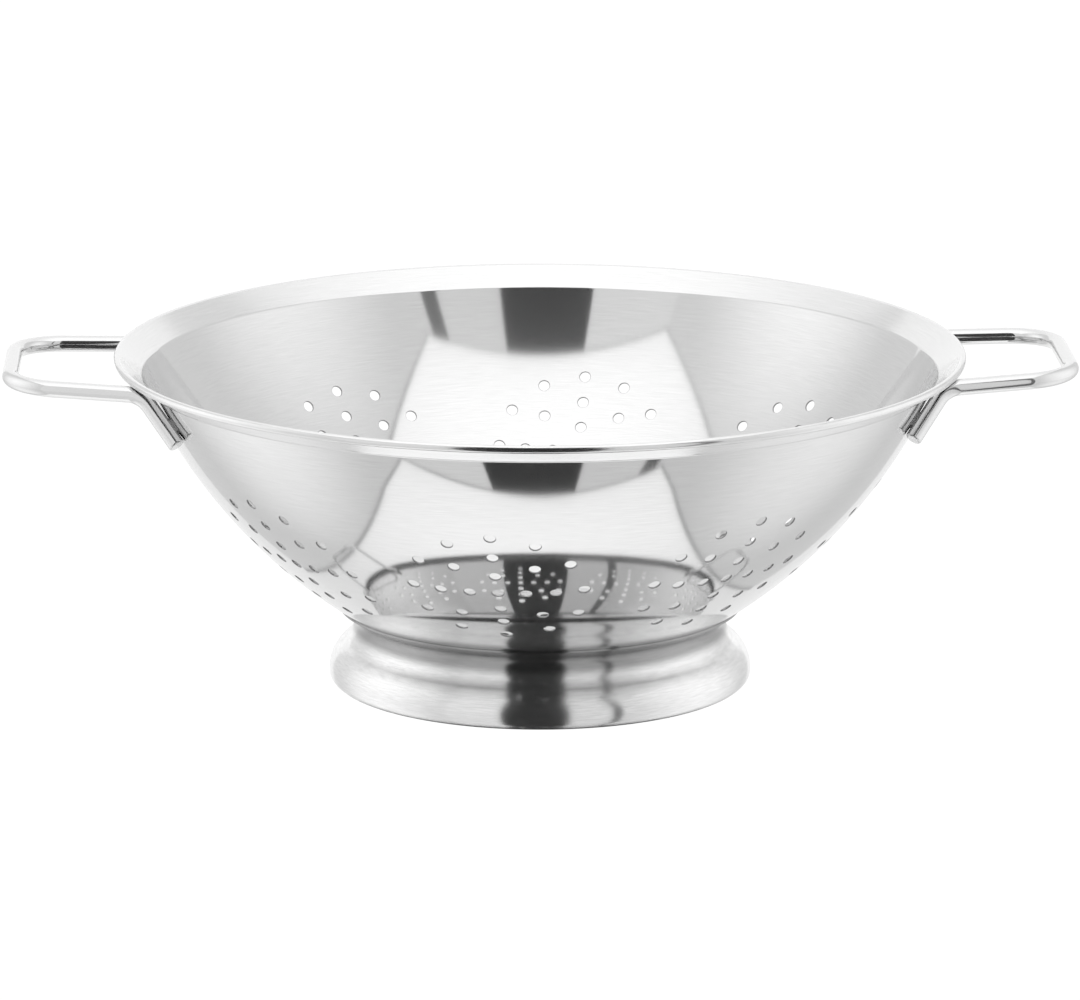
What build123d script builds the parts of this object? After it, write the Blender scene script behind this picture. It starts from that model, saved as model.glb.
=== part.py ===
# Colander of stainless steel: a pressed and perforated bowl, a spun foot ring and two wire handles,
# held together by resistance welds. The origin is the middle of the foot's resting face, +Z is up
# and the handles point along X.
from build123d import *

import os
from math import acos, asin, atan2, cos, degrees, hypot, radians, sin, sqrt

os.makedirs("parts", exist_ok=True)

# Driving sizes of the bowl, in millimetres
rim_radius = 130.0
rim_height = 103.0
bowl_sheet = 0.6
lip_width = 7.9
lip_drop = 6.5
bead_radius = 1.2
bead_turn = 250.0
bead_step = 30
wall_curve_share = 1.2923
base_radius = 46.0
base_height = 14.5
base_bend = 20.0

# Sizes of the bowl that follow from them
crease_radius = rim_radius - lip_width
crease_height = rim_height - lip_drop
wall_curve = wall_curve_share * rim_radius

# Sizes of the drain holes, and the places of one leaf-shaped group of them.
# Each place is a share of the crease radius and a share of the angle from one group to the next.
hole_diameter = 3.5
hole_sides = 8
leaf_count = 8
leaf_turn = -10.0
front_turn = -90.0
spine_shares = (0.882, 0.840, 0.795, 0.749, 0.698, 0.651, 0.597)
side_shares = (
    (0.867, 0.157),
    (0.826, 0.287),
    (0.815, 0.154),
    (0.749, 0.117),
    (0.752, 0.239),
    (0.760, 0.353),
    (0.679, 0.186),
    (0.685, 0.348),
    (0.623, 0.221),
)
base_ring_shares = (0.31, 0.66)
base_ring_counts = (8, 16)

# Sizes of the foot ring, which follows the bowl: each step goes from one bend of it to the next
foot_sheet = 0.6
flange_edge_height = 23.9
flange_root_height = 21.9
neck_step = 1.77
neck_height = 18.1
shoulder_step = 3.3
shoulder_height = 11.6
skirt_step = 4.3
foot_hem_height = 1.9
foot_rest_width = 1.5
foot_gap = 0.05
bend_stretches = 5

# Sizes of the wire handles, whose heights follow the rim and the crease under it
wire_diameter = 5.0
handle_projection = 33.4
loop_half_width = 30.2
loop_drop = 3.5
loop_corner = 17.0
leg_bend = 9.0
leg_bend_rise = 1.2
leg_top_drop = 3.2
leg_end_drop = 11.1
leg_top_half_width = 39.7
leg_end_half_width = 45.2
handle_gap = 0.15

# Sizes of the welds
handle_weld_length = 6.0
handle_weld_width = 2.4
wire_weld_depth = 0.5
sheet_weld_depth = 0.3
foot_weld_count = 8
foot_weld_diameter = 3.0
foot_weld_sides = 8

# Length by which every cut runs past what it cuts
overrun = 2.0
cut_depth = bowl_sheet + 2 * overrun

# Centre of the arc that the wall's outer side follows, from the base to the crease
rise = crease_height - base_height
run = crease_radius - base_radius
chord = hypot(run, rise)
apothem = sqrt(wall_curve**2 - (chord / 2) ** 2)
arc_radius_at_centre = (crease_radius + base_radius) / 2 - apothem * rise / chord
arc_height_at_centre = (crease_height + base_height) / 2 + apothem * run / chord


def wall_point(height, standoff):
    """Radius and height of the point that lies standoff outside the wall, square to it at a height."""
    lean = asin((arc_height_at_centre - height) / wall_curve)
    reach = wall_curve + standoff
    return (arc_radius_at_centre + reach * cos(lean), arc_height_at_centre - reach * sin(lean))


def wall_plane(height, angle, standoff=0):
    """Plane that faces out, square to the wall, at a height, an angle round the axis and a standoff."""
    radius, level = wall_point(height, standoff)
    lean = asin((arc_height_at_centre - height) / wall_curve)
    around = radians(angle)
    outward = (cos(lean) * cos(around), cos(lean) * sin(around), -sin(lean))
    sideways = (-sin(around), cos(around), 0)
    return Plane(
        origin=(radius * cos(around), radius * sin(around), level), x_dir=sideways, z_dir=outward
    )


def height_on_wall(radius):
    """Height at which the wall's outer side has this radius."""
    lean = acos((radius - arc_radius_at_centre) / wall_curve)
    return arc_height_at_centre - wall_curve * sin(lean)


# Planes of the drain holes: the spine and the sides of each leaf, turned round the bowl
hole_planes = []
leaf_angle = 360 / leaf_count
for leaf in range(leaf_count):
    middle = front_turn + leaf_turn + leaf * leaf_angle
    for share in spine_shares:
        hole_planes.append(wall_plane(height_on_wall(share * crease_radius), middle, overrun))
    for share, angle_share in side_shares:
        height = height_on_wall(share * crease_radius)
        hole_planes.append(wall_plane(height, middle + angle_share * leaf_angle, overrun))
        hole_planes.append(wall_plane(height, middle - angle_share * leaf_angle, overrun))

# Places of the holes in the flat base: one in the middle and two rings
base_places = [(0, 0)]
for share, count in zip(base_ring_shares, base_ring_counts):
    for step in range(count):
        around = radians(step * 360 / count + leaf_turn)
        radius = share * base_radius
        base_places.append((radius * cos(around), radius * sin(around)))

# Weld planes: under each handle leg, and round the foot's flange
leg_drops = (leg_end_drop, leg_top_drop)
leg_half_widths = (leg_end_half_width, leg_top_half_width)
weld_height = crease_height - sum(leg_drops) / 2


def leg_axis(side, spread_sign):
    """Lower end and upper end of a leg's straight stretch, which lies along the wall."""
    ends = []
    for drop, half_width in zip(leg_drops, leg_half_widths):
        radius, level = wall_point(crease_height - drop, wire_diameter / 2 + handle_gap)
        reach = sqrt(radius**2 - half_width**2)
        ends.append(Vector(side * reach, spread_sign * half_width, level))
    return ends


def handle_weld_planes(side):
    """Planes on the wall under the middles of a handle's two legs, with Y along the leg."""
    planes = []
    for spread_sign in (1, -1):
        low, high = leg_axis(side, spread_sign)
        touch = wall_plane(weld_height, degrees(atan2(low.Y + high.Y, low.X + high.X)))
        along = (high - low).normalized()
        planes.append(Plane(origin=touch.origin, x_dir=along.cross(touch.z_dir), z_dir=touch.z_dir))
    return planes


foot_weld_height = (flange_root_height + flange_edge_height) / 2
foot_weld_planes = []
for step in range(foot_weld_count):
    foot_weld_planes.append(wall_plane(foot_weld_height, (step + 0.5) * 360 / foot_weld_count))

# Welds of the foot: spots that bite into both sheets
with BuildPart() as foot_welds:
    with BuildSketch(*foot_weld_planes):
        RegularPolygon(foot_weld_diameter / 2, foot_weld_sides)
    extrude(amount=foot_gap + sheet_weld_depth)
    with BuildSketch(*foot_weld_planes):
        RegularPolygon(foot_weld_diameter / 2, foot_weld_sides)
    extrude(amount=-sheet_weld_depth)

# Welds of the handles: pads that bite into the wall and the wire
handle_welds = {}
for name, side in (("left_handle_welds", -1), ("right_handle_welds", 1)):
    with BuildPart() as pads:
        with BuildSketch(*handle_weld_planes(side)):
            SlotOverall(handle_weld_length, handle_weld_width, rotation=90)
        extrude(amount=handle_gap + wire_weld_depth)
        with BuildSketch(*handle_weld_planes(side)):
            SlotOverall(handle_weld_length, handle_weld_width, rotation=90)
        extrude(amount=-sheet_weld_depth)
    pads.part.label = name
    handle_welds[side] = pads

# Bowl: the sheet's outer side runs from the axis over the base, up the wall, along the lip and
# round the inside of the rolled bead, and its inner side runs back at one sheet's distance
bead_centre_radius = rim_radius - bead_radius
bead_centre_height = rim_height - bead_radius
bead_inside = bead_radius - bowl_sheet
lip_run = bead_centre_radius - crease_radius
lip_rise = bead_centre_height - crease_height
lip_square = degrees(atan2(lip_run, -lip_rise) + asin(bead_inside / hypot(lip_run, lip_rise)))
bead_turns = [lip_square]
for turn in range(-120, 121, bead_step):
    if lip_square - bead_turn < -turn < lip_square:
        bead_turns.append(-turn)
bead_turns.append(lip_square - bead_turn)


def bead_corners(reach):
    """Corners of the bead's section at one reach from its centre, from the lip to the rolled edge."""
    corners = []
    for turn in bead_turns:
        across = reach * cos(radians(turn))
        corners.append((bead_centre_radius + across, bead_centre_height + reach * sin(radians(turn))))
    return corners


knuckle_height = base_height + base_bend
knuckle_reach = wall_curve - base_bend
knuckle_radius = arc_radius_at_centre + sqrt(
    knuckle_reach**2 - (arc_height_at_centre - knuckle_height) ** 2
)
wall_start_height = (
    arc_height_at_centre + (knuckle_height - arc_height_at_centre) * wall_curve / knuckle_reach
)
inner_height = base_height + bowl_sheet
outer_wall = [wall_point(height, 0) for height in (wall_start_height, crease_height)]
inner_wall = [wall_point(height, -bowl_sheet) for height in (crease_height, wall_start_height)]
lip_and_bead = [*bead_corners(bead_inside), *reversed(bead_corners(bead_radius))]
seam_plane = Plane.XZ.rotated((0, 0, front_turn + leaf_turn + leaf_angle / 2))
with BuildPart() as bowl:
    with BuildSketch(seam_plane):
        with BuildLine():
            Line((0, base_height), (knuckle_radius, base_height))
            RadiusArc((knuckle_radius, base_height), outer_wall[0], -base_bend)
            RadiusArc(*outer_wall, -wall_curve)
            Polyline(outer_wall[1], *lip_and_bead, inner_wall[0])
            RadiusArc(*inner_wall, wall_curve - bowl_sheet)
            RadiusArc(inner_wall[1], (knuckle_radius, inner_height), base_bend - bowl_sheet)
            Polyline((knuckle_radius, inner_height), (0, inner_height), (0, base_height))
        make_face()
    revolve(axis=Axis.Z)
    add(foot_welds.part, mode=Mode.SUBTRACT)
    for pads in handle_welds.values():
        add(pads.part, mode=Mode.SUBTRACT)
    with BuildSketch(*hole_planes):
        RegularPolygon(hole_diameter / 2, hole_sides)
    extrude(amount=-cut_depth, mode=Mode.SUBTRACT)
    with BuildSketch(Plane.XY.offset(base_height - overrun)):
        with Locations(*base_places):
            RegularPolygon(hole_diameter / 2, hole_sides)
    extrude(amount=cut_depth, mode=Mode.SUBTRACT)

# Foot ring: the sheet's outer side runs from the flange under the bowl, round the neck and over
# the shoulder down to the hem that it stands on
flange_edge = wall_point(flange_edge_height, foot_gap + foot_sheet)
flange_root = wall_point(flange_root_height, foot_gap + foot_sheet)
neck_radius = flange_root[0] - neck_step
shoulder_radius = neck_radius + shoulder_step
foot_radius = shoulder_radius + skirt_step
with BuildLine():
    flange = Line(flange_edge, flange_root)
    neck = TangentArc(flange @ 1, (neck_radius, neck_height), tangent=flange % 1)
    shoulder = TangentArc(neck @ 1, (shoulder_radius, shoulder_height), tangent=neck % 1)
    skirt = TangentArc(shoulder @ 1, (foot_radius, foot_hem_height), tangent=shoulder % 1)
    hem_turn = (skirt % 1).get_signed_angle(Vector(-1, 0), Vector(0, 0, 1))
    hem_bend = foot_hem_height / (1 - cos(radians(hem_turn)))
    hem = JernArc(start=skirt @ 1, tangent=skirt % 1, radius=hem_bend, arc_size=hem_turn)
    rest = Line(hem @ 1, hem @ 1 - (foot_rest_width, 0))
outer_corners = []
inner_corners = []
for bend in (flange, neck, shoulder, skirt, hem, rest):
    stretches = 1 if bend in (flange, rest) else bend_stretches
    for step in range(stretches + (bend is rest)):
        way = bend % (step / stretches)
        outer_corners.append(bend @ (step / stretches))
        inner_corners.append(outer_corners[-1] + Vector(way.Y, -way.X) * foot_sheet)
with BuildPart() as foot_ring:
    with BuildSketch(Plane.XZ):
        with BuildLine():
            Polyline(*outer_corners, *reversed(inner_corners), close=True)
        make_face()
    revolve(axis=Axis.Z)
    add(foot_welds.part, mode=Mode.SUBTRACT)

# Handles: one bent wire each, from the end of one leg round the loop to the end of the other
loop_end = rim_radius + handle_projection - wire_diameter / 2
handles = {}
for name, side in (("left_handle", -1), ("right_handle", 1)):
    route = []
    for spread_sign in (-1, 1):
        low, high = leg_axis(side, spread_sign)
        climb = (crease_height + leg_bend_rise - low.Z) / (high.Z - low.Z)
        stretch = [low, low + (high - low) * climb]
        loop_corner_point = (side * loop_end, spread_sign * loop_half_width, rim_height - loop_drop)
        stretch.append(Vector(*loop_corner_point))
        route += stretch if spread_sign < 0 else stretch[::-1]
    with BuildPart() as handle:
        with BuildLine() as centre_line:
            FilletPolyline(*route, radius=(leg_bend, loop_corner, loop_corner, leg_bend))
        with BuildSketch(centre_line.line ^ 0):
            Circle(wire_diameter / 2)
        sweep()
        add(handle_welds[side].part, mode=Mode.SUBTRACT)
    handle.part.label = name
    handles[side] = handle

bowl.part.label = "bowl"
foot_ring.part.label = "foot_ring"
foot_welds.part.label = "foot_welds"
for piece in (bowl, foot_ring, foot_welds, *handles.values(), *handle_welds.values()):
    export_step(piece.part, f"parts/{piece.part.label}.step")
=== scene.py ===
import math

import bpy
import numpy as np
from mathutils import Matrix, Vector
from mathutils.geometry import delaunay_2d_cdt


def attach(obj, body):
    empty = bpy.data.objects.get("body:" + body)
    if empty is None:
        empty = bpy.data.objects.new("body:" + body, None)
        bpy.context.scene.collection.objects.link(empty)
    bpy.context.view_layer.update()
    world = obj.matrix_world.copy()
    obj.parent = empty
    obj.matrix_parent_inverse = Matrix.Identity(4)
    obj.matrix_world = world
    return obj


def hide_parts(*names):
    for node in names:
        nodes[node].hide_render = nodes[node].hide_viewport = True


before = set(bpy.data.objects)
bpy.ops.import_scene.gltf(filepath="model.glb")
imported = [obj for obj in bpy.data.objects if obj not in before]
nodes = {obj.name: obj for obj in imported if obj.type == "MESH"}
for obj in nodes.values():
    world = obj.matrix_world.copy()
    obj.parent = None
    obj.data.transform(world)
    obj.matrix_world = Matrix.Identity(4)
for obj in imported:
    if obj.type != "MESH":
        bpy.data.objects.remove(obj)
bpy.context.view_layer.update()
mm = 0.001
print("frame loaded")


# mesh building: profiles and routes are in millimetres, finished meshes in metres

meshValues = dict(
    cellsPerMetre=1.37e5, cellShift=0.317,   # points in one cell are one point
    panelTolerance=1e-5,                     # millimetres between a panel's lines
    leastLength=1e-9,                        # keeps a division from meeting zero
)


# Each patch is (points, faces, normals): one normal per point, faces as rows of point numbers.
# A face whose corners run against its normals is turned over. Points of patches that share a place
# are welded, and every corner keeps the exact normal of its own surface, so reflections run smoothly.
# A fourth value marks a patch's faces as punched edges.
def meshFromPatches(name, patches):
    places, corners, faceSizes, cornerNormals, punched, start = [], [], [], [], [], 0
    for points, faces, normals, *edge in patches:
        points = points * mm
        a, b, c, d = (points[faces[:, k]] for k in (0, 1, 2, -1))
        against = (np.cross(c - a, d - b) * normals[faces].sum(axis=1)).sum(axis=1) < 0
        if faces.shape[1] == 3:
            against = (np.cross(b - a, c - a) * normals[faces].sum(axis=1)).sum(axis=1) < 0
        faces = np.where(against[:, None], faces[:, ::-1], faces)
        places.append(points)
        corners.append((faces + start).ravel())
        faceSizes.append(np.full(len(faces), faces.shape[1]))
        cornerNormals.append(normals[faces].reshape(-1, 3))
        punched.append(np.full(len(faces), edge[0] if edge else 0.0))
        start += len(points)
    places = np.concatenate(places)
    cells = np.round(places * meshValues["cellsPerMetre"] + meshValues["cellShift"]).astype(np.int64)
    _, first, back = np.unique(cells, axis=0, return_index=True, return_inverse=True)
    corners = back.ravel()[np.concatenate(corners)]
    faceSizes = np.concatenate(faceSizes)
    starts = np.concatenate(([0], np.cumsum(faceSizes)[:-1]))
    mesh = bpy.data.meshes.new(name)
    mesh.vertices.add(len(first))
    mesh.vertices.foreach_set("co", places[first].ravel())
    mesh.loops.add(len(corners))
    mesh.loops.foreach_set("vertex_index", corners.astype(np.int32))
    mesh.polygons.add(len(faceSizes))
    mesh.polygons.foreach_set("loop_start", starts.astype(np.int32))
    mesh.update(calc_edges=True)
    mesh.polygons.foreach_set("use_smooth", np.ones(len(faceSizes), dtype=bool))
    mesh.normals_split_custom_set(np.concatenate(cornerNormals))
    mesh.attributes.new("punched", "FLOAT", "FACE").data.foreach_set("value", np.concatenate(punched))
    piece = bpy.data.objects.new(name, mesh)
    bpy.context.scene.collection.objects.link(piece)
    return piece


# Numbers of the quads of a grid with this many rows and columns; ring closes the columns.
def gridQuads(rows, columns, ring=False):
    across = columns if ring else columns - 1
    row, column = np.meshgrid(np.arange(rows - 1), np.arange(across), indexing="ij")
    a = row * columns + column
    b = row * columns + (column + 1) % columns
    return np.stack([a, b, b + columns, a + columns], axis=-1).reshape(-1, 4)


# Evenly spaced directions round a full turn, as rows of (cos, sin).
def spokes(steps, start=0.0):
    angle = start + np.arange(steps) * 2 * np.pi / steps
    return np.stack([np.cos(angle), np.sin(angle)], axis=-1)


# Profile (radius, height) turned round Z: x = radius cos(angle), y = radius sin(angle), z = height,
# and the profile's normal is turned with it.
def turned(profile, normals, steps, start=0.0):
    spin = spokes(steps, start)
    points, turnedNormals = (
        np.concatenate([rows[:, None, :1] * spin, np.repeat(rows[:, None, 1:], steps, axis=1)], axis=-1)
        for rows in (profile, normals))
    return points.reshape(-1, 3), gridQuads(len(profile), steps, ring=True), turnedNormals.reshape(-1, 3)


# Both sides of a turned sheet. Each stretch is (profile, normals, shading normals of the outer side),
# and the inner side lies the sheet's thickness behind the profile.
def turnedSheet(stretches, sheet, steps, start=0.0):
    patches = []
    for profile, normals, outer in stretches:
        patches.append(turned(profile, outer, steps, start))
        patches.append(turned(profile - sheet * normals, -normals, steps, start))
    return patches


# Narrow strip that closes a sheet between its two sides where its profile ends; it faces along way.
def closingStrip(point, out, sheet, way, steps, start=0.0):
    normal = np.array(way, float) / np.linalg.norm(way)
    return turned(np.array([point, point - sheet * out]), np.tile(normal, (2, 1)), steps, start)


# Straight stretch of a profile: start + t (end - start), with the normal to the right of the way.
def straight(start, end, steps):
    start, end = np.array(start, float), np.array(end, float)
    t = np.linspace(0, 1, steps + 1)[:, None]
    way = (end - start) / np.linalg.norm(end - start)
    return start + t * (end - start), np.tile([way[1], -way[0]], (steps + 1, 1))


# Arc of a profile: centre + radius (cos, sin) of an angle that runs evenly from one to the other.
# The normal points away from the centre when side is 1 and towards it when side is -1.
def arc(centre, radius, fromAngle, toAngle, steps, side=1):
    angle = np.linspace(fromAngle, toAngle, steps + 1)
    ray = np.stack([np.cos(angle), np.sin(angle)], axis=-1)
    return np.array(centre) + radius * ray, side * ray


# Arc that leaves start along way and ends at end: its centre lies square to way at the distance
# chord squared over twice the chord's share across the way. The normals point right of the way.
def tangentArc(start, way, end, steps):
    start, way, end = (np.array(v, float) for v in (start, way, end))
    way = way / np.linalg.norm(way)
    left = np.array([-way[1], way[0]])
    chord = end - start
    reach = chord @ chord / (2 * chord @ left)
    centre = start + reach * left
    fromAngle = math.atan2(*(start - centre)[::-1])
    turn = math.atan2(*(end - centre)[::-1]) - fromAngle
    turn = (turn + np.pi) % (2 * np.pi) - np.pi
    points, rays = arc(centre, abs(reach), fromAngle, fromAngle + turn, steps)
    normals = rays * (-1 if reach > 0 else 1)
    endWay = np.array([normals[-1][1], -normals[-1][0]])
    return points, normals, endWay


# the bowl

bowlValues = dict(
    rimRadius=130.0, rimHeight=103.0, sheet=0.6,
    beadRadius=1.2, beadTurn=250.0,                                # rolled edge of the rim
    creaseRadius=122.1, creaseHeight=96.5, creaseBend=1.3,
    wallCurve=167.999, baseRadius=46.0, baseHeight=14.5, baseBend=20.0,
    holeDiameter=3.5, holeSides=18, holeRound=0.16,
    leafCount=8, leafTurn=-10.0,
    # radii of a leaf's holes as shares of the crease's, and side steps as shares of a leaf's angle
    spineShares=(0.882, 0.840, 0.795, 0.749, 0.698, 0.651, 0.597),
    sideShares=((0.867, 0.157), (0.826, 0.287), (0.815, 0.154), (0.749, 0.117), (0.752, 0.239),
                (0.760, 0.353), (0.679, 0.186), (0.685, 0.348), (0.623, 0.221)),
    baseRingShares=(0.31, 0.66), baseRingCounts=(8, 16),
    lipEase=16.0, wallEase=2.0, easeMiddle=62.0, easeReach=24.0,   # degrees and heights, see outerNormals
    kneeSteps=10, wallRows=9, creaseSteps=4, lipSteps=5, beadSteps=18, columnsPerLeaf=38,
    wallStep=1.9, baseStep=3.1,                                    # mesh between the holes
    zoneMargin=3.2, holeMargin=0.55, baseMargin=1.5,
)


# The wall's outer side is one arc through the base's edge and the crease; its centre lies on the
# chord's middle line at the distance root(curve squared less half the chord squared).
def wallCentre(v):
    rise, run = v["creaseHeight"] - v["baseHeight"], v["creaseRadius"] - v["baseRadius"]
    chord = math.hypot(run, rise)
    apothem = math.sqrt(v["wallCurve"] ** 2 - chord ** 2 / 4)
    return np.array([
        (v["creaseRadius"] + v["baseRadius"]) / 2 - apothem * rise / chord,
        (v["creaseHeight"] + v["baseHeight"]) / 2 + apothem * run / chord])


# Point and outward normal of the wall at a lean, the angle below the level line through its centre:
# centre + curve's radius (cos lean, -sin lean), and the normal is the ray itself.
def wallAt(v, lean):
    ray = np.stack([np.cos(lean), -np.sin(lean)], axis=-1)
    return wallCentre(v) + v["wallCurve"] * ray, ray


# Lean where the wall passes a height, or a radius: the arc sine, or arc cosine, of the way from the
# centre over the curve's radius.
def leanAtHeight(v, height):
    return np.arcsin((wallCentre(v)[1] - np.array(height)) / v["wallCurve"])


def leanAtRadius(v, radius):
    return np.arccos((np.array(radius) - wallCentre(v)[0]) / v["wallCurve"])


# The outer side is pressed a little fuller than one arc: its normals (across, height) are raised by
# the angle wallEase (1 - (height - easeMiddle) squared / easeReach squared), never below 0.
def outerNormals(v, heights, normals):
    ease = v["wallEase"] * np.clip(1 - ((heights - v["easeMiddle"]) / v["easeReach"]) ** 2, 0, 1)
    flat = np.linalg.norm(normals[:, :-1], axis=1, keepdims=True)
    angle = np.arctan2(normals[:, -1:], flat) + np.radians(ease)[:, None]
    across = normals[:, :-1] / np.maximum(flat, meshValues["leastLength"])
    return np.concatenate([across * np.cos(angle), np.sin(angle)], axis=1)


# Stretches of the bowl's profile outside its drilled zone, as turnedSheet takes them, the radius of
# the flat base, and the leans where the drilled zone starts and ends.
def bowlProfile(v):
    centre, bend, softness = wallCentre(v), v["baseBend"], v["creaseBend"]
    # the base's knee meets the wall's arc where both have the same normal
    kneeHeight = v["baseHeight"] + bend
    kneeRadius = centre[0] + math.sqrt((v["wallCurve"] - bend) ** 2 - (centre[1] - kneeHeight) ** 2)
    kneeLean = math.atan2(centre[1] - kneeHeight, kneeRadius - centre[0])
    # the lip runs straight from the crease to the rolled bead
    beadCentre = np.array([v["rimRadius"], v["rimHeight"]]) - v["beadRadius"]
    insideBead = v["beadRadius"] - v["sheet"]
    run, rise = beadCentre - (v["creaseRadius"], v["creaseHeight"])
    lipAngle = math.atan2(rise, run) + math.asin(insideBead / math.hypot(run, rise))
    lipEnd = beadCentre + insideBead * np.array([-math.sin(lipAngle), math.cos(lipAngle)])
    # a small bend rounds the crease on both sides of the sheet
    creaseLean = float(leanAtHeight(v, v["creaseHeight"]))
    reach = softness * math.tan((np.pi / 2 - creaseLean - lipAngle) / 2)
    lowLean = creaseLean + reach / v["wallCurve"]
    lowPoint, lowOut = wallAt(v, np.array(lowLean))
    lipTurn = np.pi / 2 + lipAngle
    creaseCentre = lowPoint + softness * lowOut
    crease = arc(creaseCentre, softness, np.pi - lowLean, lipTurn, v["creaseSteps"], side=-1)
    lip = straight(crease[0][-1], lipEnd, v["lipSteps"])[0]
    lipOut, easedOut = (
        np.tile([math.sin(angle), -math.cos(angle)], (len(lip), 1))
        for angle in (lipAngle, lipAngle + math.radians(v["lipEase"])))
    beadEnd = lipTurn - math.radians(v["beadTurn"])
    spine = np.array(v["spineShares"]) * v["creaseRadius"]
    zoneLow = float(leanAtRadius(v, spine.min() - v["zoneMargin"]))
    zoneHigh = float(leanAtRadius(v, spine.max() + v["zoneMargin"]))

    def eased(profile, normals):
        return profile, normals, outerNormals(v, profile[:, 1], normals)

    stretches = [
        eased(*arc((kneeRadius, kneeHeight), bend, -np.pi / 2, -kneeLean, v["kneeSteps"])),
        eased(*wallAt(v, np.linspace(kneeLean, zoneLow, v["wallRows"]))),
        eased(*wallAt(v, np.linspace(zoneHigh, lowLean, v["wallRows"]))),
        eased(*crease),
        (lip, lipOut, easedOut),
        eased(*arc(beadCentre, insideBead, lipTurn, beadEnd, v["beadSteps"], side=-1)),
    ]
    return stretches, kneeRadius, zoneLow, zoneHigh


# Both sides of the sheet over one triangulated panel, the holes' walls and their rounded edges.
# place(u, w) gives point and outward normal from panel coordinates, and widen says how many panel
# millimetres one real millimetre takes across at each hole.
def drilledPanel(v, edge, inside, holes, widen, place):
    sides, radius, bend, sheet = v["holeSides"], v["holeDiameter"] / 2, v["holeRound"], v["sheet"]
    count, edgeCount = len(holes), len(edge)
    angle = np.arange(sides) * 2 * np.pi / sides
    circle = np.stack([np.tile(np.cos(angle), (count, 1)), widen[:, None] * np.sin(angle)], axis=-1)
    wide = holes[:, None, :] + (radius + bend) * circle
    slim = holes[:, None, :] + radius * circle
    gaps = np.linalg.norm(inside[:, None, :] - holes[None, :, :], axis=-1).min(axis=1)
    inside = inside[gaps > radius + bend + v["holeMargin"]]
    flat = np.concatenate([edge, wide.reshape(-1, 2), inside])
    loop = np.stack([np.arange(edgeCount), (np.arange(edgeCount) + 1) % edgeCount], axis=-1)
    spot = np.arange(count * sides).reshape(-1, sides)
    rings = np.stack([spot, np.roll(spot, -1, axis=1)], axis=-1).reshape(-1, 2) + edgeCount
    lines = np.concatenate([loop, rings]).tolist()
    found = delaunay_2d_cdt([Vector(p) for p in flat], lines, [], 1, meshValues["panelTolerance"])
    given = np.array([same[0] for same in found[3]])
    flat, faces = flat[given], np.array(found[2])
    # a face with all its corners on one hole's ring fills that hole, so it goes
    onRing = (given >= edgeCount) & (given < edgeCount + count * sides)
    ring = np.where(onRing, (given - edgeCount) // sides, -1)[faces]
    faces = faces[(ring[:, 0] < 0) | (ring[:, 0] != ring[:, 1]) | (ring[:, 0] != ring[:, 2])]
    points, normals = place(flat)
    outer = outerNormals(v, points[:, 2], normals)
    # one strip per hole: edge outside, wall outside, wall inside, edge inside
    wideAt, wideOut = (p.reshape(count, sides, 3) for p in place(wide.reshape(-1, 2)))
    slimAt, slimOut = (p.reshape(count, sides, 3) for p in place(slim.reshape(-1, 2)))
    towards = slimAt.mean(axis=1, keepdims=True) - slimAt
    towards /= np.linalg.norm(towards, axis=-1, keepdims=True)
    wideOuter = outerNormals(v, wideAt[..., 2].ravel(), wideOut.reshape(-1, 3)).reshape(wideOut.shape)
    rows = np.stack([
        wideAt, slimAt - bend * slimOut,
        slimAt - (sheet - bend) * slimOut, wideAt - sheet * wideOut], axis=1)
    rowNormals = np.stack([wideOuter, towards, towards, -wideOut], axis=1)
    strip = gridQuads(rows.shape[1], sides, ring=True)
    strips = strip + np.arange(count)[:, None, None] * rows.shape[1] * sides
    return [
        (points, faces, outer), (points - sheet * normals, faces, -normals),
        (rows.reshape(-1, 3), strips.reshape(-1, 4), rowNormals.reshape(-1, 3), 1.0)]


# One panel of the wall for each leaf: u is the way up the arc, and w the way round at the panel's
# middle radius.
def wallPanels(v, zoneLow, zoneHigh):
    leaf = 2 * np.pi / v["leafCount"]
    middleRadius = float(wallAt(v, np.array((zoneLow + zoneHigh) / 2))[0][0])
    length, half = v["wallCurve"] * (zoneLow - zoneHigh), leaf * middleRadius / 2
    along = np.linspace(0, length, int(length / v["wallStep"]) + 1)
    across = np.linspace(-half, half, v["columnsPerLeaf"] + 1)
    edge = np.concatenate([
        np.stack([np.zeros(len(across)), across], -1)[:-1],
        np.stack([along, np.full(len(along), half)], -1)[:-1],
        np.stack([np.full(len(across), length), across[::-1]], -1)[:-1],
        np.stack([along[::-1], np.full(len(along), -half)], -1)[:-1]])
    inside = np.stack(np.meshgrid(along[1:-1], across[1:-1], indexing="ij"), -1).reshape(-1, 2)
    holes = [(share * v["creaseRadius"], 0.0) for share in v["spineShares"]]
    for share, turn in v["sideShares"]:
        holes += [(share * v["creaseRadius"], side * turn * leaf) for side in (-1, 1)]
    radii, turns = np.array(holes).T
    holes = np.stack([v["wallCurve"] * (zoneLow - leanAtRadius(v, radii)), turns * middleRadius], -1)
    patches = []
    for n in range(v["leafCount"]):
        middle = math.radians(v["leafTurn"] - 90) + n * leaf

        # lean falls evenly with u, and the way round is w over the middle radius
        def place(flat, middle=middle):
            ring, out = wallAt(v, zoneLow - flat[:, 0] / v["wallCurve"])
            angle = flat[:, 1] / middleRadius + middle
            spin = np.stack([np.cos(angle), np.sin(angle)], -1)
            points = np.concatenate([ring[:, :1] * spin, ring[:, 1:]], -1)
            return points, np.concatenate([out[:, :1] * spin, out[:, 1:]], -1)

        patches += drilledPanel(v, edge, inside, holes, middleRadius / radii, place)
    return patches


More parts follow.
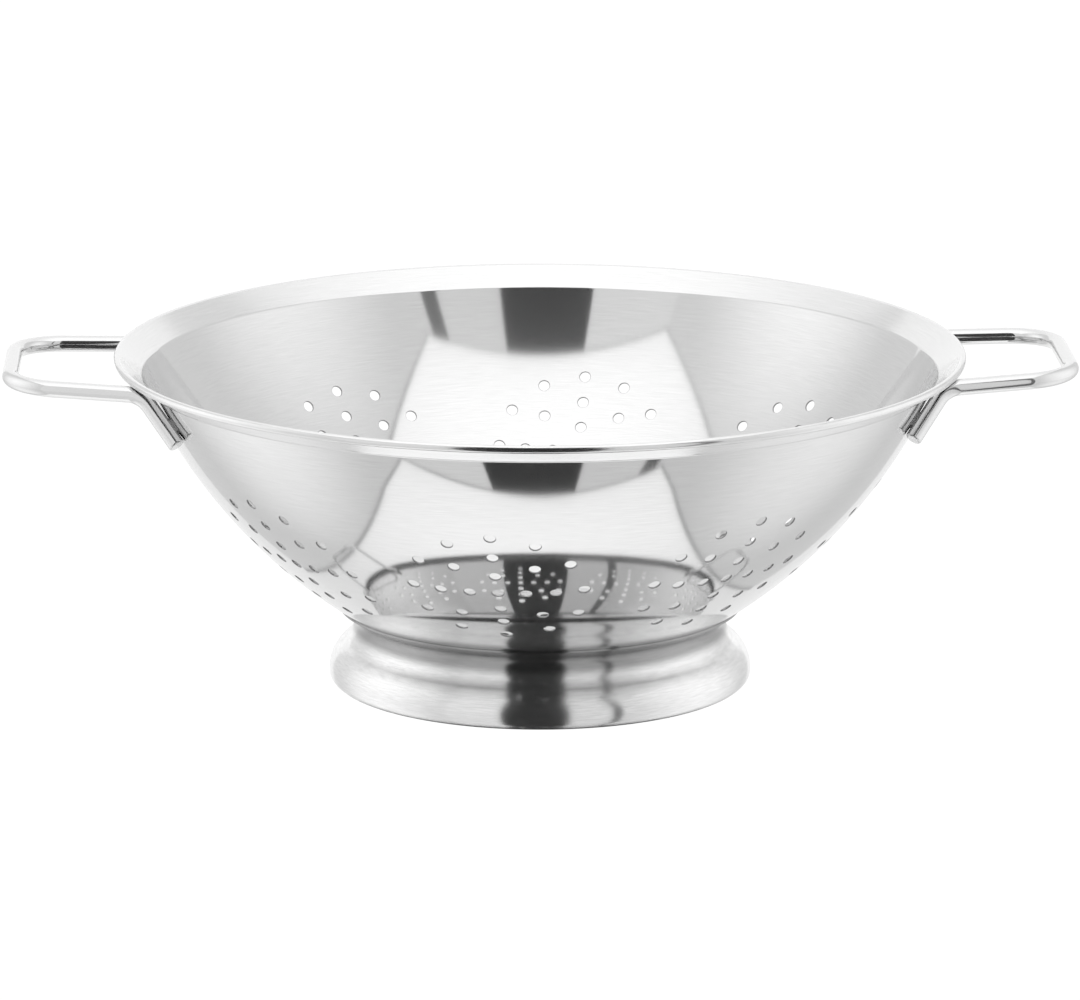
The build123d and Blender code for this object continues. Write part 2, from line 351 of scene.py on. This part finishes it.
# The flat base is one panel: u is x and w is y.
def basePanel(v, kneeRadius, columns, start):
    count = int(kneeRadius / v["baseStep"]) + 1
    line = np.arange(-count, count + 1) * v["baseStep"]
    inside = np.stack(np.meshgrid(line, line, indexing="ij"), -1).reshape(-1, 2)
    inside = inside[np.linalg.norm(inside, axis=-1) < kneeRadius - v["baseMargin"]]
    holes = [np.zeros((1, 2))]
    for share, count in zip(v["baseRingShares"], v["baseRingCounts"]):
        holes.append(share * v["baseRadius"] * spokes(count, math.radians(v["leafTurn"])))
    holes = np.concatenate(holes)

    def place(flat):
        points = np.concatenate([flat, np.full((len(flat), 1), v["baseHeight"])], -1)
        return points, np.tile([0.0, 0.0, -1.0], (len(flat), 1))

    return drilledPanel(v, kneeRadius * spokes(columns, start), inside, holes, np.ones(len(holes)), place)


# The turned stretches, a strip that closes the sheet inside the bead, the wall's panels and the base.
def makeBowl(v):
    stretches, kneeRadius, zoneLow, zoneHigh = bowlProfile(v)
    columns = v["columnsPerLeaf"] * v["leafCount"]
    start = math.radians(v["leafTurn"] - 90) - np.pi / v["leafCount"]
    end, endOut = stretches[-1][0][-1], stretches[-1][1][-1]
    edge = closingStrip(end, endOut, v["sheet"], (-endOut[1], endOut[0]), columns, start)
    rings = turnedSheet(stretches, v["sheet"], columns, start)
    return rings + [edge] + wallPanels(v, zoneLow, zoneHigh) + basePanel(v, kneeRadius, columns, start)


bowl = meshFromPatches("pressedBowl", makeBowl(bowlValues))
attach(bowl, "root")
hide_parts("bowl")
print("bowl made", len(bowl.data.polygons))


# the foot ring

footValues = dict(
    sheet=0.6, radius=64.896, hemHeight=1.9, restWidth=1.5,
    shoulder=(60.596, 11.6), neck=(57.296, 18.1),            # radius and height
    flangeRootHeight=21.9, flangeEdgeHeight=23.9, gap=0.05,
    steps=288, flangeSteps=2, bendSteps=12, skirtSteps=16,
)


# From the top: a flange along the bowl's wall, three arcs that each leave along the last one's way,
# a hem that turns in until it is level, and a flat ring to rest on.
def makeFoot(v, wall):
    sheet, steps, foot = v["sheet"], v["steps"], (v["radius"], v["hemHeight"])
    ring, out = wallAt(wall, leanAtHeight(wall, (v["flangeEdgeHeight"], v["flangeRootHeight"])))
    flangeEdge, flangeRoot = ring + (v["gap"] + sheet) * out
    way = flangeRoot - flangeEdge
    flange = [rows[::-1] for rows in straight(flangeRoot, flangeEdge, v["flangeSteps"])]
    neck, neckOut, way = tangentArc(flangeRoot, way, v["neck"], v["bendSteps"])
    shoulder, shoulderOut, way = tangentArc(v["neck"], way, v["shoulder"], v["bendSteps"])
    skirt, skirtOut, way = tangentArc(v["shoulder"], way, foot, v["skirtSteps"])
    hemTurn = math.atan2(way[1], way[0]) + np.pi
    hemBend = v["hemHeight"] / (1 - math.cos(hemTurn))
    square = np.array([way[1], -way[0]]) / np.linalg.norm(way)
    fromAngle = math.atan2(-square[1], -square[0])
    hem, hemOut = arc(np.array(foot) + hemBend * square, hemBend, fromAngle, -np.pi / 2, v["bendSteps"])
    rest = [rows[::-1] for rows in straight((hem[-1][0] - v["restWidth"], 0.0), (hem[-1][0], 0.0), 1)]
    stretches = [flange, (neck, neckOut), (shoulder, shoulderOut), (skirt, skirtOut), (hem, hemOut), rest]
    top, topOut = flange[0][0], flange[1][0]
    return turnedSheet([(*stretch, stretch[1]) for stretch in stretches], sheet, steps) + [
        closingStrip(top, topOut, sheet, (-topOut[1], topOut[0]), steps),
        closingStrip(rest[0][-1], rest[1][-1], sheet, (-1.0, 0.0), steps)]


foot = meshFromPatches("footRing", makeFoot(footValues, bowlValues))
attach(foot, "root")
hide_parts("foot_ring")
print("foot made")


# the wire handles

handleValues = dict(
    wire=5.0, reach=163.4, loopHalfWidth=30.2, loopHeight=99.5, loopCorner=17.0,
    legBend=9.0, legBendHeight=97.7, legTop=(93.3, 39.7), legEnd=(85.4, 45.2),   # height, half width
    gap=0.15, sides=32, endRound=0.5, endRows=4,
    straightStep=1.2, bendStep=0.6, leastStraight=2, leastBend=6,                # rings along the wire
)


# Round corners: at each inner corner the straight runs stop short by bend tan(half the turn), and an
# arc of that bend joins them.
def roundedRoute(v, corners, bends):
    corners = [np.array(c, float) for c in corners]
    path, last = [], corners[0]

    # straight run from one point to another, which itself is left out unless extra is 1
    def run(fromPoint, toPoint, extra=0):
        steps = max(v["leastStraight"], int(np.linalg.norm(toPoint - fromPoint) / v["straightStep"]))
        t = np.linspace(0, 1, steps + extra, endpoint=bool(extra))[:, None]
        return fromPoint + t * (toPoint - fromPoint)

    for before, corner, after, bend in zip(corners, corners[1:], corners[2:], bends):
        inWay = (corner - before) / np.linalg.norm(corner - before)
        outWay = (after - corner) / np.linalg.norm(after - corner)
        turn = math.acos(np.clip(inWay @ outWay, -1, 1))
        short = bend * math.tan(turn / 2)
        fromPoint, toPoint = corner - short * inWay, corner + short * outWay
        side = outWay - (outWay @ inWay) * inWay
        side /= np.linalg.norm(side)
        centre = fromPoint + bend * side
        path.append(run(last, fromPoint))
        bendSteps = max(v["leastBend"], int(turn * bend / v["bendStep"]))
        angle = np.linspace(0, turn, bendSteps, endpoint=False)[:, None]
        path.append(centre - bend * np.cos(angle) * side + bend * np.sin(angle) * inWay)
        last = toPoint
    path.append(run(last, corners[-1], extra=1))
    return np.concatenate(path)


# Round wire along a path: ring centre plus radius times (cos up + sin across), where up is Z made
# square to the path. Both ends are rounded off and closed with a flat disc.
def wireAlong(v, path):
    radius, sides, endRound, endRows = v["wire"] / 2, v["sides"], v["endRound"], v["endRows"]
    way = np.gradient(path, axis=0)
    way /= np.linalg.norm(way, axis=1, keepdims=True)
    angle = np.linspace(0, np.pi / 2, endRows)
    inset, slim = endRound * (1 - np.sin(angle)), radius - endRound * (1 - np.cos(angle))
    runs = np.concatenate([
        path[0] + inset[::-1, None] * way[0], path[1:-1], path[-1] - inset[:, None] * way[-1]])
    ways = np.concatenate([np.tile(way[0], (endRows, 1)), way[1:-1], np.tile(way[-1], (endRows, 1))])
    radii = np.concatenate([slim[::-1], np.full(len(path) - 2, radius), slim])
    lean = np.concatenate([-np.sin(angle[::-1]), np.zeros(len(path) - 2), np.sin(angle)])
    up = np.array([0, 0, 1.0]) - ways[:, 2:] * ways
    up /= np.linalg.norm(up, axis=1, keepdims=True)
    across = np.cross(ways, up)
    turn = np.arange(sides) * 2 * np.pi / sides
    ray = np.cos(turn)[None, :, None] * up[:, None] + np.sin(turn)[None, :, None] * across[:, None]
    points = (runs[:, None] + radii[:, None, None] * ray).reshape(-1, 3)
    normals = ray * np.cos(np.arcsin(np.abs(lean)))[:, None, None] + lean[:, None, None] * ways[:, None]
    patches = [(points, gridQuads(len(runs), sides, ring=True), normals.reshape(-1, 3))]
    fan = np.stack([np.arange(sides), (np.arange(sides) + 1) % sides, np.full(sides, sides)], -1)
    for row, sign in ((0, -1), (len(runs) - 1, 1)):
        ring = points.reshape(len(runs), sides, 3)[row]
        disc = np.concatenate([ring, ring.mean(axis=0, keepdims=True)])
        patches.append((disc, fan, np.tile(sign * ways[row], (sides + 1, 1))))
    return patches


# From one leg's end up the wall, round the loop and down to the other leg's end.
def handleRoute(v, wall, side):
    away = v["wire"] / 2 + v["gap"]
    route = []
    for hand in (-1, 1):
        ends = []
        for height, halfWidth in (v["legEnd"], v["legTop"]):
            ring, out = wallAt(wall, leanAtHeight(wall, height))
            radius, level = ring + away * out
            reach = math.sqrt(radius ** 2 - halfWidth ** 2)
            ends.append(np.array([side * reach, hand * halfWidth, level]))
        low, high = ends
        climb = (v["legBendHeight"] - low[2]) / (high[2] - low[2])
        reach = v["reach"] - v["wire"] / 2
        loop = np.array([side * reach, hand * v["loopHalfWidth"], v["loopHeight"]])
        stretch = [low, low + (high - low) * climb, loop]
        route += stretch if hand < 0 else stretch[::-1]
    return roundedRoute(v, route, (v["legBend"], v["loopCorner"], v["loopCorner"], v["legBend"]))


handles = []
for name, node, side in (("leftWireHandle", "left_handle", -1), ("rightWireHandle", "right_handle", 1)):
    tube = wireAlong(handleValues, handleRoute(handleValues, bowlValues, side))
    handle = meshFromPatches(name, tube)
    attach(handle, "root")
    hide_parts(node)
    handles.append(handle)
print("handles made")


# camera

# The camera looks from the photograph's height at the middle of the object, turned a little to its
# left; distance and lens come from the ellipses of the rim and the foot.
cameraValues = dict(
    turn=-2.2, pitch=13.748, distance=2003.87, lookHeight=55.49,
    lens=217.4, sensor=36.0, shift=(0.0, 0.0), clip=(0.05, 50),
)


def makeCamera(v):
    turn, pitch = math.radians(v["turn"]), math.radians(v["pitch"])
    target = Vector((0, 0, v["lookHeight"] * mm))
    back = Vector((math.sin(turn) * math.cos(pitch), -math.cos(turn) * math.cos(pitch), math.sin(pitch)))
    data = bpy.data.cameras.new("photoCamera")
    data.lens, data.sensor_width, data.sensor_fit = v["lens"], v["sensor"], "HORIZONTAL"
    data.shift_x, data.shift_y = v["shift"]
    data.clip_start, data.clip_end = v["clip"]
    camera = bpy.data.objects.new("photoCamera", data)
    camera.location = target + back * v["distance"] * mm
    camera.rotation_euler = (-back).to_track_quat("-Z", "Y").to_euler()
    bpy.context.scene.collection.objects.link(camera)
    bpy.context.scene.camera = camera


makeCamera(cameraValues)
print("camera set")


# finishes

# Gives sockets their values; a value that is itself a socket is linked.
def feed(tree, node, inputs):
    for key, value in inputs.items():
        if isinstance(value, bpy.types.NodeSocket):
            tree.links.new(value, node.inputs[key])
        else:
            node.inputs[key].default_value = value


def addNode(tree, kind, inputs=None, **settings):
    node = tree.nodes.new(kind)
    for key, value in settings.items():
        setattr(node, key, value)
    feed(tree, node, inputs or {})
    return node


def calc(tree, operation, first, second=0.0):
    return addNode(tree, "ShaderNodeMath", {0: first, 1: second}, operation=operation).outputs[0]


# The three parts of a place on the piece.
def placeParts(tree):
    place = addNode(tree, "ShaderNodeTexCoord")
    return addNode(tree, "ShaderNodeSeparateXYZ", {0: place.outputs["Object"]}).outputs


def newMaterial(name, inputs):
    material = bpy.data.materials.new(name)
    material.use_nodes = True
    tree = material.node_tree
    tree.nodes.clear()
    shader = addNode(tree, "ShaderNodeBsdfPrincipled", inputs)
    addNode(tree, "ShaderNodeOutputMaterial", {"Surface": shader.outputs["BSDF"]})
    return material, tree, shader


# Node group with number inputs (name: default) and one number output.
def newGroup(name, inputs, output):
    group = bpy.data.node_groups.new(name, "ShaderNodeTree")
    for key, default in inputs.items():
        socket = group.interface.new_socket(name=key, in_out="INPUT", socket_type="NodeSocketFloat")
        socket.default_value = default
    group.interface.new_socket(name=output, in_out="OUTPUT", socket_type="NodeSocketFloat")
    return group, addNode(group, "NodeGroupInput").outputs, addNode(group, "NodeGroupOutput")


lineSettings = {"Lines per metre": 4000.0, "Radius share": 0.7, "Breaks": 3.0}
lineNoise = {"Scale": 1.0, "Detail": 3.0, "Roughness": 0.6}
leastRadius = 0.0001   # metres; the lines have no direction nearer to the axis
markNoise = {"Detail": 4.0}
markSpread = {"From Min": 0.35, "From Max": 0.65}


# Fine lines that run round the Z axis, as a polishing mop or a spinning tool leaves them: noise over
# the height plus a share of the radius, and only slowly over the direction from the axis.
def makeTurningLines():
    group, given, result = newGroup("turningLines", lineSettings, "Lines")
    x, y, z = placeParts(group)
    squares = calc(group, "ADD", calc(group, "MULTIPLY", x, x), calc(group, "MULTIPLY", y, y))
    radius = calc(group, "MAXIMUM", calc(group, "SQRT", squares), leastRadius)
    level = calc(group, "ADD", z, calc(group, "MULTIPLY", radius, given["Radius share"]))
    spot = addNode(group, "ShaderNodeCombineXYZ", {
        0: calc(group, "MULTIPLY", calc(group, "DIVIDE", x, radius), given["Breaks"]),
        1: calc(group, "MULTIPLY", calc(group, "DIVIDE", y, radius), given["Breaks"]),
        2: calc(group, "MULTIPLY", level, given["Lines per metre"])})
    noise = addNode(group, "ShaderNodeTexNoise", {**lineNoise, "Vector": spot.outputs[0]})
    feed(group, result, {"Lines": noise.outputs["Fac"]})
    return group


# Cloudy handling marks: soft noise between a low and a high value.
def makeHandlingMarks():
    group, given, result = newGroup("handlingMarks", {"Size": 30.0, "Low": 0.1, "High": 0.2}, "Marks")
    place = addNode(group, "ShaderNodeTexCoord")
    noise = addNode(group, "ShaderNodeTexNoise", {
        **markNoise, "Vector": place.outputs["Object"], "Scale": given["Size"]})
    spread = addNode(group, "ShaderNodeMapRange", {
        **markSpread, "Value": noise.outputs["Fac"], "To Min": given["Low"], "To Max": given["High"]})
    feed(group, result, {"Marks": spread.outputs["Result"]})
    return group


# Value that changes smoothly from one to another between two heights.
def makeHeightStep():
    inputs = {"From": 0.015, "To": 0.019, "Below": 1.0, "Above": 0.5}
    group, given, result = newGroup("heightStep", inputs, "Value")
    step = addNode(group, "ShaderNodeMapRange", {
        "Value": placeParts(group)[2], "From Min": given["From"], "From Max": given["To"],
        "To Min": given["Below"], "To Max": given["Above"]}, interpolation_type="SMOOTHSTEP")
    feed(group, result, {"Value": step.outputs["Result"]})
    return group


# Grey of the metal: the middle value, plus or minus the grain of the turning lines, times the share,
# which on the foot also carries painted shade.
# Punched edges are darker.
def makeLinedTone():
    inputs = {"Value": 0.7, "Grain": 0.1, **lineSettings, "Share": 1.0, "Edge dark": 0.65}
    group, given, result = newGroup("linedTone", inputs, "Tone")
    drawn = addNode(
        group, "ShaderNodeGroup", {key: given[key] for key in lineSettings}, node_tree=turningLines)
    swing = calc(group, "MULTIPLY", calc(group, "SUBTRACT", drawn.outputs["Lines"], 0.5), given["Grain"])
    whole = calc(group, "MULTIPLY", calc(group, "ADD", given["Value"], swing), given["Share"])
    mark = addNode(group, "ShaderNodeAttribute", attribute_name="punched")
    lost = calc(group, "MULTIPLY", mark.outputs["Fac"], given["Edge dark"])
    feed(group, result, {"Tone": calc(group, "MULTIPLY", whole, calc(group, "SUBTRACT", 1.0, lost))})
    return group


# One value for the outer side of a bowl's sheet and one for its inner side. The surface is inner
# where its normal looks towards a point on the axis above the bowl: normal . (place - point) < 0.
def makeSheetSide():
    inputs = {"Centre height": 0.2, "Outside": 0.0, "Inside": 1.0}
    group, given, result = newGroup("sheetSide", inputs, "Value")
    place = addNode(group, "ShaderNodeTexCoord")
    point = addNode(group, "ShaderNodeCombineXYZ", {2: given["Centre height"]})
    away = addNode(group, "ShaderNodeVectorMath", {
        0: place.outputs["Object"], 1: point.outputs[0]}, operation="SUBTRACT")
    along = addNode(group, "ShaderNodeVectorMath", {
        0: place.outputs["Normal"], 1: away.outputs[0]}, operation="DOT_PRODUCT")
    inner = calc(group, "LESS_THAN", along.outputs["Value"], 0.0)
    choose = addNode(group, "ShaderNodeMix", {
        0: inner, 2: given["Outside"], 3: given["Inside"]}, data_type="FLOAT")
    feed(group, result, {"Value": choose.outputs[0]})
    return group


turningLines = makeTurningLines()
handlingMarks = makeHandlingMarks()
heightStep = makeHeightStep()
sheetSide = makeSheetSide()
linedTone = makeLinedTone()

# haze is a broad, weak second reflection; a quarter turn spreads the highlight across the lines
hazeCoat = {"Coat Roughness": 0.4, "Coat IOR": 2.1}
acrossLines = {"Anisotropic Rotation": 0.25}

# even holds what is the same all over, and steps are (from, to, below, above)
bowlFinish = dict(
    even={"Anisotropic": 0.6, **acrossLines, **hazeCoat},
    tone={"Value": 0.72, "Grain": 0.16, "Lines per metre": 3500.0, "Radius share": 0.8, "Breaks": 14.0},
    toneAndShadeStep=(0.0964, 0.0974, 1.0, 1.09),                      # the rim is a little brighter
    marks={"Size": 14.0, "Low": 0.05, "High": 0.08},
    satinStep=(0.0966, 0.0976, 0.0, 0.10),                     # and less sharp
    haze={"Centre height": 0.2, "Outside": 0.5, "Inside": 0.8},
    lines={"Lines per metre": 2500.0, "Radius share": 0.8, "Breaks": 2.5},
    lineHeight=0.001, lineStrength=0.5,
)
footFinish = dict(
    even={"Anisotropic": 0.95, **acrossLines},
    tone={"Value": 0.86, "Grain": 0.3, "Lines per metre": 3500.0, "Radius share": 0.6, "Breaks": 12.0},
    toneAndShadeStep=(0.014, 0.0175, 1.0, 0.45),                       # painted shade: darker in the corner under the bowl
    marks={"Size": 30.0, "Low": 0.21, "High": 0.26},
    lines={"Lines per metre": 5000.0, "Radius share": 0.6, "Breaks": 4.0},
    lineHeight=0.002, lineStrength=0.4,
)
wireFinish = dict(
    even={"Base Color": (0.76, 0.76, 0.76, 1), "Coat Weight": 0.6, **hazeCoat},
    marks={"Size": 60.0, "Low": 0.05, "High": 0.09},
)
weldFinish = dict(
    even={"Base Color": (0.44, 0.44, 0.44, 1)},
    marks={"Size": 300.0, "Low": 0.3, "High": 0.5},
)


# Polished or brushed stainless steel: a metal whose roughness drifts with handling marks. Sheet also
# carries turning lines, in its grey and as a fine relief.
def makeSteel(name, v):
    material, tree, shader = newMaterial(name, {"Metallic": 1.0, **v["even"]})

    def useGroup(group, inputs):
        return addNode(tree, "ShaderNodeGroup", inputs, node_tree=group).outputs[0]

    def useStep(step):
        return useGroup(heightStep, dict(zip(("From", "To", "Below", "Above"), step)))

    roughness = useGroup(handlingMarks, v["marks"])
    if "satinStep" in v:
        roughness = calc(tree, "ADD", roughness, useStep(v["satinStep"]))
    feed(tree, shader, {"Roughness": roughness})
    if "tone" in v:
        # the step's share sets the grey by height; on the foot it is painted shade in the corner under
        # the bowl
        tone = useGroup(linedTone, {**v["tone"], "Share": useStep(v["toneAndShadeStep"])})
        feed(tree, shader, {"Base Color": tone})
    if "Anisotropic" in v["even"]:
        tangent = addNode(tree, "ShaderNodeTangent", direction_type="RADIAL", axis="Z")
        feed(tree, shader, {"Tangent": tangent.outputs[0]})
    if "haze" in v:
        feed(tree, shader, {"Coat Weight": useGroup(sheetSide, v["haze"])})
    if "lines" in v:
        bump = addNode(tree, "ShaderNodeBump", {
            "Strength": v["lineStrength"], "Distance": v["lineHeight"] * mm,
            "Height": useGroup(turningLines, v["lines"])})
        feed(tree, shader, {"Normal": bump.outputs[0]})
    return material


wireSteel, weldSteel = makeSteel("brightWireSteel", wireFinish), makeSteel("weldSteel", weldFinish)
bowl.data.materials.append(makeSteel("polishedBowlSteel", bowlFinish))
foot.data.materials.append(makeSteel("spunFootSteel", footFinish))
for handle in handles:
    handle.data.materials.append(wireSteel)
for name in ("left_handle_welds", "right_handle_welds", "foot_welds"):
    nodes[name].data.materials.clear()
    nodes[name].data.materials.append(weldSteel)
print("finishes made")


# studio

# Soft light comes from a box of white cloth that stands round the object on a bright, mirror-like
# base. A dark slit in the front lets the camera look in. All lengths are in metres.
studioValues = dict(
    turn=-2.2, left=-0.52, right=0.447, front=-0.445, back=0.9, top=0.728,   # the cloth box
    slit=(-0.160, 0.118), seam=(0.345, 0.415),                               # from and to
    hem=0.012, hemDrop=0.001,                                                # stitched edge of the top
    topGlow=(1.38, 1.03), topMiddle=(-0.04, -0.20), topReach=(1.3, 0.75),    # glow: middle and edge
    leftGlow=(1.26, 0.80), leftMiddle=(0.05, 0.25), leftReach=(0.48, 0.6),
    rightGlow=(1.18, 0.78), rightMiddle=(0.03, 0.18), rightReach=(0.45, 0.65),
    frontLeftGlow=0.88, frontRightGlow=0.81, backGlow=1.05,
    slitGlow=0.018, seamGlow=0.12, hemGlow=0.35,
    baseWhite=0.93, baseRoughness=0.01, baseLevel=-0.006, baseHalf=1.2,
    floorHalf=6.0, floorLevel=-0.0001, floorGlow=1.05,
)


def flatCard(name, corners, material):
    mesh = bpy.data.meshes.new(name)
    mesh.from_pydata([tuple(c) for c in corners], [], [tuple(range(len(corners)))])
    mesh.update()
    card = bpy.data.objects.new(name, mesh)
    bpy.context.scene.collection.objects.link(card)
    mesh.materials.append(material)
    return card


# Evenly lit surface: black, with a white glow.
def glowing(name, glow):
    return newMaterial(name, {
        "Base Color": (0, 0, 0, 1), "Specular IOR Level": 0.0,
        "Emission Color": (1, 1, 1, 1), "Emission Strength": glow})[0]


# Lit cloth: the glow falls smoothly from the middle's value to the edge's over the reach.
def litCloth(name, glow, middle, reach):
    material, tree, shader = newMaterial(name, {
        "Base Color": (0, 0, 0, 1), "Specular IOR Level": 0.0, "Emission Strength": 1.0})
    place = addNode(tree, "ShaderNodeTexCoord")
    share = addNode(tree, "ShaderNodeMapping", {
        "Vector": place.outputs["Object"], "Location": middle, "Scale": reach}, vector_type="TEXTURE")
    away = addNode(tree, "ShaderNodeVectorMath", {0: share.outputs[0]}, operation="LENGTH")
    fall = addNode(tree, "ShaderNodeMapRange", {
        "Value": away.outputs["Value"], "To Min": glow[0], "To Max": glow[1]},
        interpolation_type="SMOOTHSTEP")
    feed(tree, shader, {"Emission Color": fall.outputs["Result"]})
    return material


def levelRectangle(left, right, front, back, level):
    return [(left, front, level), (right, front, level), (right, back, level), (left, back, level)]


# Upright rectangle between two points of the plan.
def upright(start, end, low, top):
    return [(*start, low), (*end, low), (*end, top), (*start, top)]


def makeCloths(v):
    left, right, front, back = (v[side] for side in ("left", "right", "front", "back"))
    low, top = v["baseLevel"], v["top"]
    cards = [flatCard(
        "boxTop", levelRectangle(left, right, front, back, top),
        litCloth("boxTop", v["topGlow"], (*v["topMiddle"], top), (*v["topReach"], 1)))]
    for name, across, key in (("boxLeft", left, "left"), ("boxRight", right, "right")):
        cloth = litCloth(name, v[key + "Glow"], (across, *v[key + "Middle"]), (1, *v[key + "Reach"]))
        cards.append(flatCard(name, upright((across, front), (across, back), low, top), cloth))
    level = top - v["hemDrop"]
    evenCards = {
        "boxBack": (upright((left, back), (right, back), low, top), v["backGlow"]),
        "frontHem": (levelRectangle(left, right, front, front + v["hem"], level), v["hemGlow"]),
        "leftHem": (levelRectangle(left, left + v["hem"], front, back, level), v["hemGlow"]),
        "rightHem": (levelRectangle(right - v["hem"], right, front, back, level), v["hemGlow"]),
    }
    # the front, from left to right
    edges = (left, *v["slit"], *v["seam"], right)
    names = ("boxFrontLeft", "boxSlit", "boxFrontRight", "boxSeam", "boxFrontEdge")
    glows = (v["frontLeftGlow"], v["slitGlow"], v["frontRightGlow"], v["seamGlow"], v["frontRightGlow"])
    for name, start, end, glow in zip(names, edges, edges[1:], glows):
        evenCards[name] = upright((start, front), (end, front), low, top), glow
    for name, (corners, glow) in evenCards.items():
        cards.append(flatCard(name, corners, glowing(name, glow)))
    for card in cards:
        card.rotation_euler = (0, 0, math.radians(v["turn"]))
        card.visible_camera = card.visible_shadow = False


# The camera sees only the plain pale floor and a white world; reflections see the cloths and the base.
def makeStudio(v):
    world = bpy.data.worlds.new("whiteWorld")
    bpy.context.scene.world = world
    world.use_nodes = True
    feed(world.node_tree, world.node_tree.nodes["Background"], {
        "Color": (1, 1, 1, 1), "Strength": v["floorGlow"]})
    half = v["floorHalf"]
    floor = flatCard("paleFloor", levelRectangle(-half, half, -half, half, v["floorLevel"]),
                     glowing("paleFloor", v["floorGlow"]))
    floor.visible_glossy = floor.visible_diffuse = floor.visible_shadow = False
    makeCloths(v)
    half, white = v["baseHalf"], v["baseWhite"]
    polished = newMaterial("mirrorBase", {
        "Base Color": (white, white, white, 1), "Metallic": 1.0, "Roughness": v["baseRoughness"]})[0]
    base = flatCard("mirrorBase", levelRectangle(-half, half, -half, half, v["baseLevel"]), polished)
    base.visible_camera = False
    bpy.context.scene.view_settings.view_transform = "Standard"
    bpy.context.scene.view_settings.look = "None"


makeStudio(studioValues)
print("studio lit")
